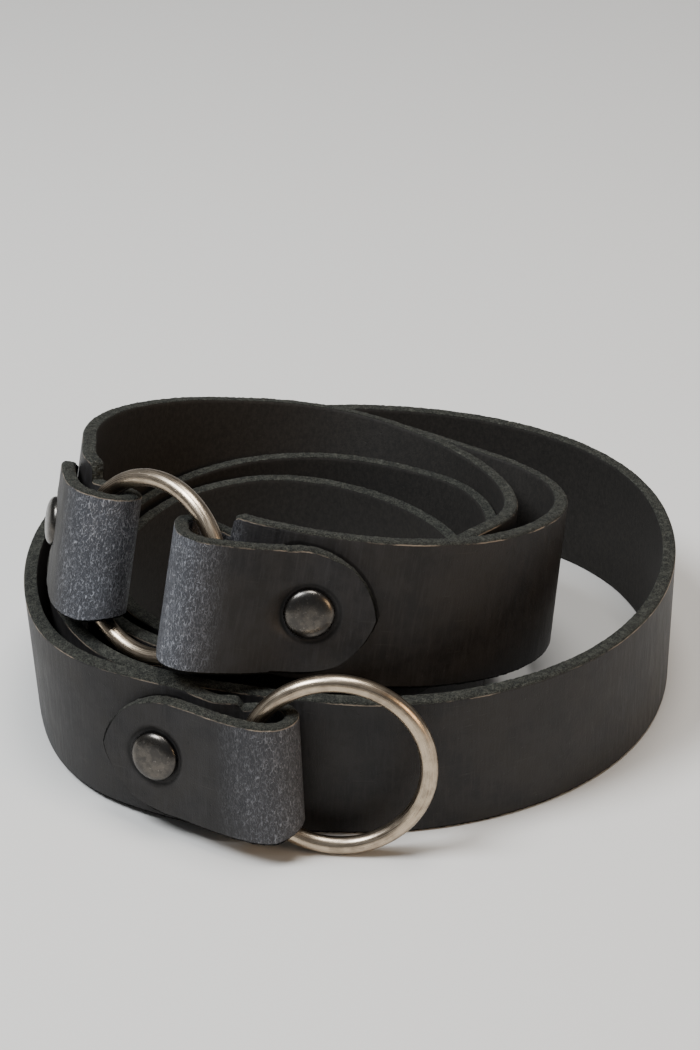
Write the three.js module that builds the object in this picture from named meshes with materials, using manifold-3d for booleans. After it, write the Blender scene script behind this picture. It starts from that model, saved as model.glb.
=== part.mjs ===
// A ring belt, coiled and resting on its edge. A front strap runs from the end ring, twice round
// the coil, to the middle ring; a tail strap runs on from the middle ring, turns inwards and ends
// in a free tip. Each strap holds its ring in a folded tab closed by one domed rivet.
// Millimetres, +Z up. The origin is the middle of the coil's footprint, on the surface.
import * as THREE from 'three';
import { mergeVertices } from 'three/addons/utils/BufferGeometryUtils.js';
import Module from 'manifold-3d';

const wasm = await Module();
wasm.setup();

// Leather
const strapWidth = 32;
const leather = 3;
const flapWidth = 27;
const tipLength = 16.5;
const shoulderRound = 1.6;
const layerGap = 0.4;

// Rings of round wire
const ringOuter = 41.2;
const wireThickness = 3.7;
const ringRadius = (ringOuter - wireThickness) / 2;

// Rivets
const capDiameter = 10.5;
const capHeight = 1.9;
const capRim = 0.6;
const backDiameter = 8.4;
const backHeight = 0.8;
const postDiameter = 3.4;
const holeDiameter = 4.0;
const dentDiameter = 12.4;
const dentDepth = 0.4;
const capGap = 0.25;

// How each tab is cut: along it from the end of the fold back to the strap's shoulder, on to the
// rivet, and from the rivet to the tip; its width at the fold, how far it sags there, and how far
// the wire draws up its lower edge
const endTabCut = { shoulder: 11.8, rivet: 34.1, tip: 12.8, width: 27.4, sag: 0.4, pinch: 2.5 };
const middleTabFrontCut = { shoulder: 9.4, rivet: 40.6, tip: 13.9, width: 29, sag: 1.1, pinch: 2.7 };
const middleTabSideCut = { shoulder: 15.5, rivet: 29, tip: 13.9, width: 29, sag: 1.1, pinch: 2.3 };
const pinchReach = 9;

// The end ring's flap stands this much higher than the strap behind it
const flapRise = 0.7;

// The raised upper coil lies in a tilted plane through this point under its front
const tiltRight = 0.16;
const tiltBack = 0.22;
const tiltPoint = new THREE.Vector3(-11, -55, 32.4);

// Smoothness of the swept leather
const walk = 0.25;
const longestStep = 7;
const sharpestTurn = THREE.MathUtils.degToRad(8);

// Routes of the straps. Columns:
//   deg     way round the coil, clockwise from the front as seen from above
//   radius  of the outer face at the strap's middle height
//   lift    0 stands on the surface, 1 lies in the raised upper coil
//   flare   degrees that the top leans outwards
//   rise    of the foot above the surface
//   rake    degrees that the top leans along the strap
const frontRoute = [
  { deg: 20, radius: 68.6, lift: 0, flare: -5, rise: 1.6, rake: 3 },
  { deg: 30, radius: 68.5, lift: 0, flare: -4.5, rise: 1.4, rake: 2 },
  { deg: 45, radius: 70.7, lift: 0, flare: -1.5, rise: 0.8, rake: 1 },
  { deg: 60, radius: 70.6, lift: 0, flare: 2.5, rise: 0.1, rake: 0 },
  { deg: 75, radius: 68.6, lift: 0, flare: 3, rise: 0, rake: 0 },
  { deg: 90, radius: 67.6, lift: 0, flare: 1, rise: 0, rake: 0 },
  { deg: 120, radius: 66.5, lift: 0, flare: 0, rise: 0, rake: 0 },
  { deg: 150, radius: 67.0, lift: 0, flare: 0, rise: 0, rake: 0 },
  { deg: 180, radius: 68.2, lift: 0, flare: 0, rise: 0, rake: 0 },
  { deg: 210, radius: 72.0, lift: 0, flare: 0, rise: 0, rake: 0 },
  { deg: 240, radius: 77.4, lift: 0, flare: 0, rise: 0, rake: 0 },
  { deg: 270, radius: 75.8, lift: 0, flare: 0, rise: 0, rake: 0 },
  { deg: 300, radius: 72.3, lift: 0, flare: 0, rise: 0, rake: 0 },
  { deg: 330, radius: 67.3, lift: 0, flare: 0, rise: 0, rake: 0 },
  { deg: 350, radius: 64.4, lift: 0, flare: -1, rise: 0, rake: 0 },
  { deg: 370, radius: 62.6, lift: 0, flare: -4, rise: 0, rake: 0 },
  { deg: 390, radius: 64.3, lift: 0, flare: -4, rise: 0, rake: 0 },
  { deg: 405, radius: 66.0, lift: 0, flare: -2, rise: 0, rake: 0 },
  { deg: 420, radius: 65.2, lift: 0, flare: 0, rise: 0, rake: 0 },
  { deg: 435, radius: 63.6, lift: 0, flare: 2, rise: 0, rake: 0 },
  { deg: 450, radius: 62.8, lift: 0, flare: 1, rise: 0, rake: 0 },
  { deg: 480, radius: 61.0, lift: 0.12, flare: 0, rise: 0, rake: 0 },
  { deg: 510, radius: 57.4, lift: 0.35, flare: 0, rise: 0, rake: 0 },
  { deg: 540, radius: 52.6, lift: 0.6, flare: 0, rise: 0, rake: 0 },
  { deg: 570, radius: 44.6, lift: 0.85, flare: 0, rise: 0, rake: 0 },
  { deg: 585, radius: 42.2, lift: 0.95, flare: 0, rise: 0, rake: 0 },
  { deg: 600, radius: 44.2, lift: 1, flare: 0, rise: 0, rake: 0 },
  { deg: 615, radius: 47.5, lift: 1, flare: 0, rise: 0, rake: 0 },
  { deg: 630, radius: 49.6, lift: 1, flare: -2, rise: 0, rake: 0 },
  { deg: 660, radius: 50.3, lift: 1, flare: -4, rise: 0, rake: 0 },
  { deg: 690, radius: 51.8, lift: 1, flare: -1, rise: 0, rake: 0 },
  { deg: 720, radius: 54.4, lift: 1, flare: 0, rise: 0, rake: 0 },
  { deg: 742, radius: 55.8, lift: 1, flare: 0, rise: 0, rake: 0 },
];
const tailRoute = [
  { deg: 75, radius: 59.2, lift: 1, flare: 0, rise: 0, rake: 0 },
  { deg: 90, radius: 58.1, lift: 1, flare: 0, rise: 0, rake: 0 },
  { deg: 120, radius: 53.7, lift: 1, flare: 0, rise: 0, rake: 0 },
  { deg: 150, radius: 48.9, lift: 1, flare: 0, rise: 0, rake: 0 },
  { deg: 180, radius: 45.8, lift: 1, flare: 0, rise: 0, rake: 0 },
  { deg: 210, radius: 39.7, lift: 1, flare: -2, rise: 0, rake: 0 },
  { deg: 240, radius: 37.5, lift: 1, flare: -6, rise: 0, rake: 0 },
  { deg: 270, radius: 38.5, lift: 1, flare: -7, rise: 0, rake: 0 },
  { deg: 300, radius: 42.4, lift: 1, flare: -5, rise: 0, rake: 0 },
  { deg: 330, radius: 46.2, lift: 0.92, flare: 0, rise: 0, rake: 0 },
  { deg: 345, radius: 48.0, lift: 0.7, flare: 0, rise: 0, rake: 0 },
  { deg: 360, radius: 49.7, lift: 0.4, flare: 0, rise: 0, rake: 0 },
  { deg: 375, radius: 51.2, lift: 0.1, flare: 0, rise: 0, rake: 0 },
  { deg: 390, radius: 53.1, lift: 0, flare: 0, rise: 0, rake: 0 },
  { deg: 420, radius: 56.8, lift: 0, flare: 0, rise: 0, rake: 0 },
  { deg: 450, radius: 53.8, lift: 0, flare: 0, rise: 0, rake: 0 },
  { deg: 480, radius: 49.2, lift: 0.02, flare: 0, rise: 0, rake: 0 },
  { deg: 510, radius: 43.8, lift: 0.1, flare: 0, rise: 0, rake: 0 },
  { deg: 540, radius: 38.2, lift: 0.2, flare: 0, rise: 0, rake: 0 },
  { deg: 570, radius: 33.7, lift: 0.35, flare: 0, rise: 0, rake: 0 },
  { deg: 600, radius: 33.0, lift: 0.5, flare: 0, rise: 0, rake: 0 },
  { deg: 630, radius: 34.6, lift: 0.55, flare: -1, rise: 0, rake: 0 },
  { deg: 660, radius: 38.3, lift: 0.45, flare: -2, rise: 0, rake: 0 },
  { deg: 690, radius: 41.7, lift: 0.25, flare: -1, rise: 0, rake: 0 },
  { deg: 720, radius: 44.8, lift: 0.08, flare: 0, rise: 0, rake: 0 },
  { deg: 750, radius: 48.2, lift: 0, flare: 0, rise: 0, rake: 0 },
  { deg: 780, radius: 51.6, lift: 0, flare: 0, rise: 0, rake: 0 },
  { deg: 810, radius: 48.6, lift: 0, flare: 0, rise: 0, rake: 0 },
  { deg: 840, radius: 43.6, lift: 0, flare: 0, rise: 0, rake: 0 },
  { deg: 870, radius: 37.2, lift: 0, flare: 0, rise: 0, rake: 0 },
  { deg: 900, radius: 29.9, lift: 0, flare: 0, rise: 0, rake: 0 },
  { deg: 930, radius: 26.0, lift: 0, flare: 0, rise: 0, rake: 0 },
  { deg: 960, radius: 26.0, lift: 0, flare: 0, rise: 0, rake: 0 },
  { deg: 990, radius: 29.0, lift: 0, flare: 0, rise: 0, rake: 0 },
  { deg: 1020, radius: 33.0, lift: 0, flare: 0, rise: 0, rake: 0 },
  { deg: 1062, radius: 38.6, lift: 0, flare: 0, rise: 0, rake: 0 },
];

// Folds of the tabs, from the flap round to the tongue: x, y of the leather's middle line at its
// middle height, in the plane that the tab stands on, and its rise above that plane's foot
const endFold = [
  { x: -30.5, y: -63.6, rise: 2.3 },
  { x: -24.2, y: -67.7, rise: 2.6 },
  { x: -18.2, y: -70.8, rise: 2.7 },
  { x: -13.2, y: -72.1, rise: 2.7 },
  { x: -9.4, y: -71.1, rise: 2.7 },
  { x: -7.7, y: -67.9, rise: 2.7 },
  { x: -9.2, y: -64.7, rise: 2.6 },
  { x: -13.2, y: -63.5, rise: 2.3 },
  { x: -17.4, y: -63.2, rise: 2.0 },
];
const middleFoldSide = [
  { x: -60.0, y: -20.5, rise: 0 },
  { x: -59.2, y: -28.0, rise: 0 },
  { x: -57.9, y: -33.8, rise: 0 },
  { x: -55.4, y: -37.8, rise: 0 },
  { x: -51.8, y: -39.6, rise: 0 },
  { x: -48.6, y: -39.8, rise: 0 },
  { x: -45.8, y: -37.8, rise: 0 },
  { x: -45.4, y: -34.1, rise: 0 },
  { x: -48.3, y: -30.7, rise: 0 },
  { x: -51.9, y: -27.8, rise: 0 },
  { x: -54.6, y: -24.6, rise: 0 },
  { x: -55.7, y: -20.4, rise: 0 },
];
const middleFoldFront = [
  { x: -28.0, y: -45.7, rise: 0 },
  { x: -32.0, y: -45.2, rise: 0 },
  { x: -34.6, y: -47.6, rise: 0 },
  { x: -35.0, y: -52.0, rise: 0 },
  { x: -34.2, y: -56.4, rise: 0 },
  { x: -31.6, y: -59.2, rise: 0 },
  { x: -27.0, y: -59.9, rise: 0 },
  { x: -19.5, y: -58.9, rise: 0 },
];

// Where each ring stands and which way its face looks
const endRingPlace = { x: 0.7, y: -68.2, faces: new THREE.Vector3(-0.08, -0.993, 0.09).normalize() };
const middleRingPlace = { x: -39.8, y: -42.8, faces: new THREE.Vector3(-0.612, -0.744, 0.265) };

const up = new THREE.Vector3(0, 0, 1);
const tiltUp = new THREE.Vector3(tiltRight, tiltBack, 1).normalize();
const tiltAcross = new THREE.Vector3(1, 0, -tiltRight).normalize();
const tiltAway = new THREE.Vector3().crossVectors(tiltUp, tiltAcross);

// Natural cubic spline through values at rising knots
function spline(knots, values) {
  const last = knots.length - 1;
  const bend = new Array(last + 1).fill(0);
  const carry = new Array(last + 1).fill(0);
  for (let i = 1; i < last; i += 1) {
    const before = knots[i] - knots[i - 1];
    const after = knots[i + 1] - knots[i];
    const jump = (values[i + 1] - values[i]) / after - (values[i] - values[i - 1]) / before;
    const pivot = 2 * (before + after) - before * carry[i - 1];
    carry[i] = after / pivot;
    bend[i] = (6 * jump - before * bend[i - 1]) / pivot;
  }
  for (let i = last - 1; i > 0; i -= 1) {
    bend[i] -= carry[i] * bend[i + 1];
  }
  return (at) => {
    let i = 0;
    while (i < last - 1 && knots[i + 1] < at) {
      i += 1;
    }
    const span = knots[i + 1] - knots[i];
    const b = (at - knots[i]) / span;
    const a = 1 - b;
    const curve = ((a ** 3 - a) * bend[i] + (b ** 3 - b) * bend[i + 1]) * span * span / 6;
    return a * values[i] + b * values[i + 1] + curve;
  };
}

// A route's columns as smooth functions of deg
function routeOf(rows) {
  const degs = rows.map((row) => row.deg);
  const smooth = {};
  for (const column of ['radius', 'lift', 'flare', 'rise', 'rake']) {
    smooth[column] = spline(degs, rows.map((row) => row[column]));
  }
  return smooth;
}

// A knot of a strap's middle line at deg on a route, moved outwards by shift
function knotOn(route, deg, shift = 0) {
  const turn = THREE.MathUtils.degToRad(deg);
  const reach = route.radius(deg) - leather / 2 + shift;
  return {
    x: -reach * Math.sin(turn),
    y: -reach * Math.cos(turn),
    lift: THREE.MathUtils.clamp(route.lift(deg), 0, 1),
    flare: route.flare(deg),
    rise: Math.max(0, route.rise(deg)),
    rake: route.rake(deg),
  };
}

function knotsAlong(route, from, to, step, shift = 0, lifted = 0) {
  const count = Math.max(1, Math.round(Math.abs(to - from) / step));
  const knots = [];
  for (let i = 0; i <= count; i += 1) {
    const knot = knotOn(route, from + (to - from) * i / count, shift);
    knot.rise += lifted;
    knots.push(knot);
  }
  return knots;
}

// Fold points stand as the route stands at deg
function foldKnots(points, route, deg) {
  const stand = knotOn(route, deg);
  return points.map((point) => ({ ...stand, ...point }));
}

// Place in space of a point of a tilted or standing strap, at height above the middle line
function place(knot, height) {
  const lean = THREE.MathUtils.degToRad(Math.abs(knot.flare));
  const foot = (strapWidth * Math.cos(lean) + leather * Math.sin(lean)) / 2;
  const standing = new THREE.Vector3(knot.x, knot.y, foot);
  const tilted = tiltPoint.clone()
    .addScaledVector(tiltAcross, knot.x - tiltPoint.x)
    .addScaledVector(tiltAway, knot.y - tiltPoint.y)
    .addScaledVector(tiltUp, strapWidth / 2);
  const outwards = new THREE.Vector3(knot.x, knot.y, 0).normalize();
  const onwards = new THREE.Vector3(outwards.y, -outwards.x, 0);
  const rising = up.clone().lerp(tiltUp, knot.lift).normalize()
    .addScaledVector(outwards, Math.tan(THREE.MathUtils.degToRad(knot.flare)))
    .addScaledVector(onwards, Math.tan(THREE.MathUtils.degToRad(knot.rake)))
    .normalize();
  return standing.lerp(tilted, knot.lift)
    .addScaledVector(up, knot.rise)
    .addScaledVector(rising, height);
}

// A strap's middle line through its knots, as stations a short walk apart. The outer face lies to
// the left of the way that the line runs.
function lineThrough(knots) {
  const reach = [0];
  for (let i = 1; i < knots.length; i += 1) {
    const step = Math.hypot(knots[i].x - knots[i - 1].x, knots[i].y - knots[i - 1].y);
    reach.push(reach[i - 1] + step);
  }
  const smooth = {};
  for (const column of ['x', 'y', 'lift', 'flare', 'rise', 'rake']) {
    smooth[column] = spline(reach, knots.map((knot) => knot[column]));
  }
  const at = (along) => {
    const knot = {};
    for (const column of Object.keys(smooth)) {
      knot[column] = smooth[column](along);
    }
    knot.lift = THREE.MathUtils.clamp(knot.lift, 0, 1);
    knot.rise = Math.max(0, knot.rise);
    return knot;
  };
  const total = reach[reach.length - 1];
  const count = Math.ceil(total / walk);
  const stations = [];
  for (let i = 0; i <= count; i += 1) {
    const along = total * i / count;
    const ahead = at(Math.min(total, along + walk));
    const behind = at(Math.max(0, along - walk));
    const knot = at(along);
    const middle = place(knot, 0);
    const onwards = place(ahead, 0).sub(place(behind, 0)).normalize();
    const rising = place(knot, 1).sub(middle);
    const facing = new THREE.Vector3().crossVectors(rising, onwards).normalize();
    const before = stations[stations.length - 1];
    const length = before ? before.length + middle.distanceTo(before.middle) : 0;
    stations.push({ length, middle, onwards, rising, facing });
  }
  return stations;
}

function stationAt(stations, length) {
  return stations.reduce((best, station) => (
    Math.abs(station.length - length) < Math.abs(best.length - length) ? station : best));
}

// The station at the end of a fold, where the line turns back: the tightest place within a range
function turningStation(stations, from, to) {
  let best = null;
  let sharpest = 0;
  for (let i = 8; i < stations.length - 8; i += 1) {
    const station = stations[i];
    if (station.length >= from && station.length <= to) {
      const middle = stations[i - 8].onwards.dot(stations[i + 8].onwards);
      const turn = Math.acos(THREE.MathUtils.clamp(middle, -1, 1));
      if (turn > sharpest) {
        sharpest = turn;
        best = station;
      }
    }
  }
  return best;
}

// Half width of an end that is cut to a pointed arch, at a distance from its point
function archHalf(half, distance) {
  if (distance >= tipLength) {
    return half;
  }
  const round = (tipLength ** 2 + half ** 2) / (2 * half);
  return half - round + Math.sqrt(round ** 2 - (tipLength - distance) ** 2);
}

// Half width at a distance past a tab's shoulder, where the wide strap begins with a round corner
function shoulderHalf(distance) {
  const inside = Math.min(shoulderRound, distance);
  const drop = shoulderRound - Math.sqrt(shoulderRound ** 2 - (shoulderRound - inside) ** 2);
  return strapWidth / 2 - drop;
}

// Upper and lower edge of a flap, measured from the strap's middle line. The flap narrows evenly
// from the fold to its pointed arch.
function flapEdges(cut, fromFold) {
  const even = cut.rivet + cut.tip - tipLength;
  const share = Math.min(1, fromFold / even);
  const half = fromFold > even
    ? archHalf(flapWidth / 2, cut.rivet + cut.tip - fromFold)
    : THREE.MathUtils.lerp(cut.width, flapWidth, share) / 2;
  const sag = cut.sag * (1 - share);
  return [Math.max(half, leather / 8) - sag, -Math.max(half, leather / 8) - sag];
}

// Upper and lower edge of a strap at a length along it
function edgesAt(length, end, tabs, freeTip) {
  let edges = null;
  for (const tab of tabs) {
    const { cut } = tab;
    const pastFold = (length - tab.fold) * tab.away;
    if (pastFold >= 0) {
      edges = flapEdges(cut, pastFold);
    } else if (pastFold > -cut.shoulder) {
      const sag = cut.sag * (1 + pastFold / cut.shoulder);
      edges = [cut.width / 2 - sag, -cut.width / 2 - sag];
    } else if (pastFold > -cut.shoulder - shoulderRound) {
      const half = shoulderHalf(-pastFold - cut.shoulder);
      edges = [half, -half];
    }
    if (Math.abs(pastFold) < pinchReach) {
      edges[1] += cut.pinch * (1 - THREE.MathUtils.smoothstep(Math.abs(pastFold), 0, pinchReach));
    }
  }
  if (edges) {
    return edges;
  }
  const half = freeTip ? archHalf(strapWidth / 2, end - length) : strapWidth / 2;
  return [Math.max(half, leather / 8), -Math.max(half, leather / 8)];
}

// Lengths where a strap is cut across: never further apart than longestStep or sharpestTurn,
// with close cuts at the shoulders and the pointed ends
function cutLengths(stations, tabs, freeTip) {
  const start = stations[0].length;
  const end = stations[stations.length - 1].length;
  const forced = [start, end];
  const arches = freeTip ? [{ tip: end, away: 1 }] : [];
  for (const tab of tabs) {
    const shoulder = tab.fold - tab.away * tab.cut.shoulder;
    forced.push(shoulder, shoulder + tab.away * 0.05);
    for (const share of [0.15, 0.4, 1]) {
      forced.push(shoulder - tab.away * shoulderRound * share);
    }
    arches.push({ tip: tab.away > 0 ? end : start, away: tab.away });
  }
  for (const arch of arches) {
    for (const share of [0.02, 0.07, 0.15, 0.25, 0.37, 0.5, 0.66, 0.83, 1]) {
      forced.push(arch.tip - arch.away * tipLength * share);
    }
  }
  forced.sort((a, b) => a - b);
  const cuts = [];
  for (let i = 0; i + 1 < forced.length; i += 1) {
    cuts.push(forced[i]);
    let last = stationAt(stations, forced[i]);
    for (const station of stations) {
      if (station.length > forced[i] + 0.6 && station.length < forced[i + 1] - 0.6) {
        const turn = last.facing.angleTo(station.facing);
        if (station.length - last.length > longestStep || turn > sharpestTurn) {
          cuts.push(station.length);
          last = station;
        }
      }
    }
  }
  cuts.push(end);
  return cuts;
}

// Closed body swept through cross-cuts, each a list of points in the same order
function sweptBody(sections) {
  const positions = [];
  const indices = [];
  for (const section of sections) {
    for (const point of section) {
      positions.push(point.x, point.y, point.z);
    }
  }
  const count = sections[0].length;
  for (let i = 0; i + 1 < sections.length; i += 1) {
    for (let j = 0; j < count; j += 1) {
      const a = i * count + j;
      const b = i * count + (j + 1) % count;
      indices.push(a, b, b + count, a, b + count, a + count);
    }
  }
  const top = (sections.length - 1) * count;
  for (let j = 1; j + 1 < count; j += 1) {
    indices.push(0, j + 1, j, top, top + j, top + j + 1);
  }
  const geometry = new THREE.BufferGeometry();
  geometry.setAttribute('position', new THREE.Float32BufferAttribute(positions, 3));
  geometry.setIndex(indices);
  return geometry;
}

function solidOf(geometry) {
  const bare = geometry.clone();
  bare.deleteAttribute('normal');
  bare.deleteAttribute('uv');
  const merged = mergeVertices(bare, 1e-4);
  const mesh = new wasm.Mesh({
    numProp: 3,
    vertProperties: new Float32Array(merged.attributes.position.array),
    triVerts: new Uint32Array(merged.index.array),
  });
  return new wasm.Manifold(mesh);
}

function geometryOf(solid) {
  const mesh = solid.getMesh();
  const geometry = new THREE.BufferGeometry();
  const positions = new THREE.Float32BufferAttribute(mesh.vertProperties, 3);
  geometry.setAttribute('position', positions);
  geometry.setIndex([...mesh.triVerts]);
  return geometry;
}

// A body of revolution set on an axis through a point
function turnedBody(profile, sides, point, axis) {
  const outline = profile.map(([radius, height]) => new THREE.Vector2(radius, height));
  const body = new THREE.LatheGeometry(outline, sides);
  body.applyQuaternion(new THREE.Quaternion().setFromUnitVectors(new THREE.Vector3(0, 1, 0), axis));
  body.translate(point.x, point.y, point.z);
  return body;
}

// The leather of one strap, cut for its rivets
function strapBody(stations, tabs, freeTip) {
  const end = stations[stations.length - 1].length;
  const sections = cutLengths(stations, tabs, freeTip).map((length) => {
    const { middle, rising, facing } = stationAt(stations, length);
    const [upper, lower] = edgesAt(length, end, tabs, freeTip);
    const corner = (height, out) => middle.clone()
      .addScaledVector(rising, height)
      .addScaledVector(facing, out);
    return [
      corner(lower, leather / 2),
      corner(upper, leather / 2),
      corner(upper, -leather / 2),
      corner(lower, -leather / 2),
    ];
  });
  let solid = solidOf(sweptBody(sections));
  if (solid.volume() < 0) {
    throw new Error('a strap is swept inside out');
  }
  for (const { rivet } of tabs) {
    solid = solid.subtract(solidOf(turnedBody(drillProfile(rivet.leaves), 24, rivet.point, rivet.axis)));
  }
  return geometryOf(solid);
}

// Outline of what a rivet takes out of the leather: the hole and a shallow dent under each cap
function drillProfile(leaves) {
  const floor = leaves / 2 - dentDepth;
  const clear = leaves / 2 + capHeight;
  return [
    [0, -clear],
    [dentDiameter / 2, -clear],
    [dentDiameter / 2, -floor],
    [holeDiameter / 2, -floor],
    [holeDiameter / 2, floor],
    [dentDiameter / 2, floor],
    [dentDiameter / 2, clear],
    [0, clear],
  ];
}

// A tab that folds back at the start or the end of a line: where its fold is, which way the flap
// runs, and the middle of its rivet between the two leaves
function tabOf(stations, cut, atEnd) {
  const reach = cut.rivet + cut.tip + 25;
  const whole = stations[stations.length - 1].length;
  const fold = atEnd
    ? turningStation(stations, whole - reach, whole)
    : turningStation(stations, 0, reach);
  const away = atEnd ? 1 : -1;
  const flap = stationAt(stations, fold.length + away * cut.rivet);
  const opposite = stations
    .filter((station) => (station.length - fold.length) * away < -cut.shoulder)
    .reduce((best, station) => (
      station.middle.distanceTo(flap.middle) < best.middle.distanceTo(flap.middle) ? station : best));
  const axis = flap.middle.clone().sub(opposite.middle).normalize();
  const point = flap.middle.clone().add(opposite.middle).multiplyScalar(0.5);
  const leaves = flap.middle.distanceTo(opposite.middle) + leather;
  const tip = fold.length + away * (cut.rivet + cut.tip);
  return { fold: fold.length, away, cut, tip, rivet: { point, axis, leaves } };
}

function lineBetween(stations, from, to) {
  return stations.filter((station) => station.length >= from && station.length <= to);
}

// Rivet: domed cap on the flap, post through both leaves, low cap behind
function rivetBody({ point, axis, leaves }) {
  const front = leaves / 2 - dentDepth + capGap;
  const back = -front;
  const cap = capDiameter / 2;
  const low = backDiameter / 2;
  const post = postDiameter / 2;
  const dome = [];
  const domeSteps = 5;
  for (let i = 0; i < domeSteps; i += 1) {
    const turn = (i / domeSteps) * Math.PI / 2;
    const lift = (capHeight - capRim) * Math.sin(turn);
    dome.push([cap * (0.12 + 0.88 * Math.cos(turn)), front + capRim + lift]);
  }
  const profile = [
    [0, back - backHeight],
    [low * 0.7, back - backHeight],
    [low, back - backHeight * 0.4],
    [low, back],
    [post, back],
    [post, front],
    [cap, front],
    ...dome,
    [0, front + capHeight],
  ];
  return geometryOf(solidOf(turnedBody(profile, 28, point, axis)));
}

// Ring of round wire, its axis along Z before it is stood up
function ringBody(centre, faces) {
  const wire = new THREE.TorusGeometry(ringRadius, wireThickness / 2, 12, 56);
  wire.applyQuaternion(new THREE.Quaternion().setFromUnitVectors(up, faces));
  wire.translate(centre.x, centre.y, centre.z);
  return geometryOf(solidOf(wire));
}

const finishes = {
  leather: { color: '#2b2a2c', roughness: 0.62, metalness: 0 },
  ringSteel: { color: '#8b8276', roughness: 0.36, metalness: 1 },
  rivetSteel: { color: '#3a3836', roughness: 0.38, metalness: 1 },
};

// Front strap: flap of the end ring, twice round the coil, flap of the middle ring
const front = routeOf(frontRoute);
const frontLine = lineThrough([
  ...knotsAlong(front, 46, 33, 4.3, leather + layerGap, flapRise),
  ...foldKnots(endFold, front, 20),
  ...knotsAlong(front, 20, 742, 5),
  ...foldKnots(middleFoldFront, front, 742),
  ...knotsAlong(front, 728, 708, 4, leather + layerGap),
]);
const endTab = tabOf(frontLine, endTabCut, false);
const middleTabFront = tabOf(frontLine, middleTabFrontCut, true);
const frontPiece = lineBetween(frontLine, endTab.tip, middleTabFront.tip);

// Tail strap: flap of the middle ring, inwards round the coil, free tip
const tail = routeOf(tailRoute);
const tailLine = lineThrough([
  ...knotsAlong(tail, 94, 78, 4, leather + layerGap),
  ...foldKnots(middleFoldSide, tail, 75),
  ...knotsAlong(tail, 75, 1062, 5),
]);
const middleTabSide = tabOf(tailLine, middleTabSideCut, false);
const tailPiece = lineBetween(tailLine, middleTabSide.tip, Infinity);

const endRingCentre = new THREE.Vector3(
  endRingPlace.x,
  endRingPlace.y,
  ringRadius * Math.hypot(endRingPlace.faces.x, endRingPlace.faces.y) + wireThickness / 2,
);
const middleRingCentre = place({ ...middleRingPlace, lift: 1, flare: 0, rise: 0, rake: 0 }, 0);

const belt = new THREE.Group();
function add(name, geometry, finish) {
  const mesh = new THREE.Mesh(geometry, new THREE.MeshStandardMaterial(finish));
  mesh.name = name;
  belt.add(mesh);
}
add('front_strap', strapBody(frontPiece, [endTab, middleTabFront], false), finishes.leather);
add('tail_strap', strapBody(tailPiece, [middleTabSide], true), finishes.leather);
add('end_ring', ringBody(endRingCentre, endRingPlace.faces), finishes.ringSteel);
add('middle_ring', ringBody(middleRingCentre, middleRingPlace.faces.normalize()), finishes.ringSteel);
add('end_rivet', rivetBody(endTab.rivet), finishes.rivetSteel);
add('middle_rivet_front', rivetBody(middleTabFront.rivet), finishes.rivetSteel);
add('middle_rivet_side', rivetBody(middleTabSide.rivet), finishes.rivetSteel);

// The coil is set so that the origin is the middle of its footprint
const box = new THREE.Box3().setFromObject(belt);
belt.position.set(-(box.min.x + box.max.x) / 2, -(box.min.y + box.max.y) / 2, -box.min.z);

export default belt;
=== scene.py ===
# %% [markdown]
# # A ring belt, coiled and resting on its edge
#
# The belt is two leather straps. Each is cut flat, folded round a metal ring and closed by a rivet,
# and the whole length is wound into a loose coil. This lesson works in the same order as the
# maker: a flat strap is cut out, given its thickness and its rounded edges, punched and pressed for
# its rivets, and only then wound. The pattern of the leather is laid out on the flat strap too, so
# it follows every fold, as real grain does.
#
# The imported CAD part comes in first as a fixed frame. It gives the place of everything.

# %% Load the frame
import math

import bpy
import numpy as np
from mathutils import Matrix, Vector
from mathutils.noise import noise as noise3


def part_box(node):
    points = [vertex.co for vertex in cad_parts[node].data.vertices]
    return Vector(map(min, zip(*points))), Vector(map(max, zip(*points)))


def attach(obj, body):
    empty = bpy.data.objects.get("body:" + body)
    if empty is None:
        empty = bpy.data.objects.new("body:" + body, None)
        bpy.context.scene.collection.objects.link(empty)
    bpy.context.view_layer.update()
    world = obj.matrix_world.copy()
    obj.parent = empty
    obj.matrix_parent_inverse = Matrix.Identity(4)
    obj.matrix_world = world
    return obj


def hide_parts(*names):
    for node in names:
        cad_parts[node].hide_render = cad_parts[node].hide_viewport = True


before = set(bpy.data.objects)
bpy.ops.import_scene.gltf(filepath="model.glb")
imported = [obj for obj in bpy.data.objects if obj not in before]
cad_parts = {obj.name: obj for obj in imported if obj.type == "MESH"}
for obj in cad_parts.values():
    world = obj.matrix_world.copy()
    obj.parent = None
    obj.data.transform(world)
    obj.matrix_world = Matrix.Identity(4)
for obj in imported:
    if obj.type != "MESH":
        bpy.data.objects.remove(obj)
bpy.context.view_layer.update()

# %% [markdown]
# ## Camera
#
# The photograph was taken from in front of the belt and above it, looking 30 degrees down, with a
# long lens. The long side of the picture is 36 mm of film, and the two rings fixed the distance.

# %% Camera
MM = 0.001
camera_place = Vector((-0.6, -494.5, 324.5)) * MM
camera_down = math.radians(30)
bpy.ops.object.camera_add(location=camera_place, rotation=(math.pi / 2 - camera_down, 0, 0))
camera = bpy.context.object
camera.data.sensor_fit = "VERTICAL"
camera.data.sensor_height = 36
camera.data.lens = 89.14
bpy.context.scene.camera = camera
print("camera at", tuple(round(x, 4) for x in camera.location))

# %% [markdown]
# ## Floor and light
#
# The floor is plain and pale. The light is that of a window: one large cool panel high on the
# left, a weaker warm one on the right, and one above and behind that draws the cut edges.


# %% Floor and light
def panel(name, place, aim, size, power, colour):
    bpy.ops.object.light_add(type="AREA", location=place)
    light = bpy.context.object
    light.name = name
    light.data.shape = "DISK"
    light.data.size = size
    light.data.energy = power
    light.data.color = colour
    light.rotation_euler = (Vector(aim) - light.location).to_track_quat("-Z", "Y").to_euler()


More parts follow.
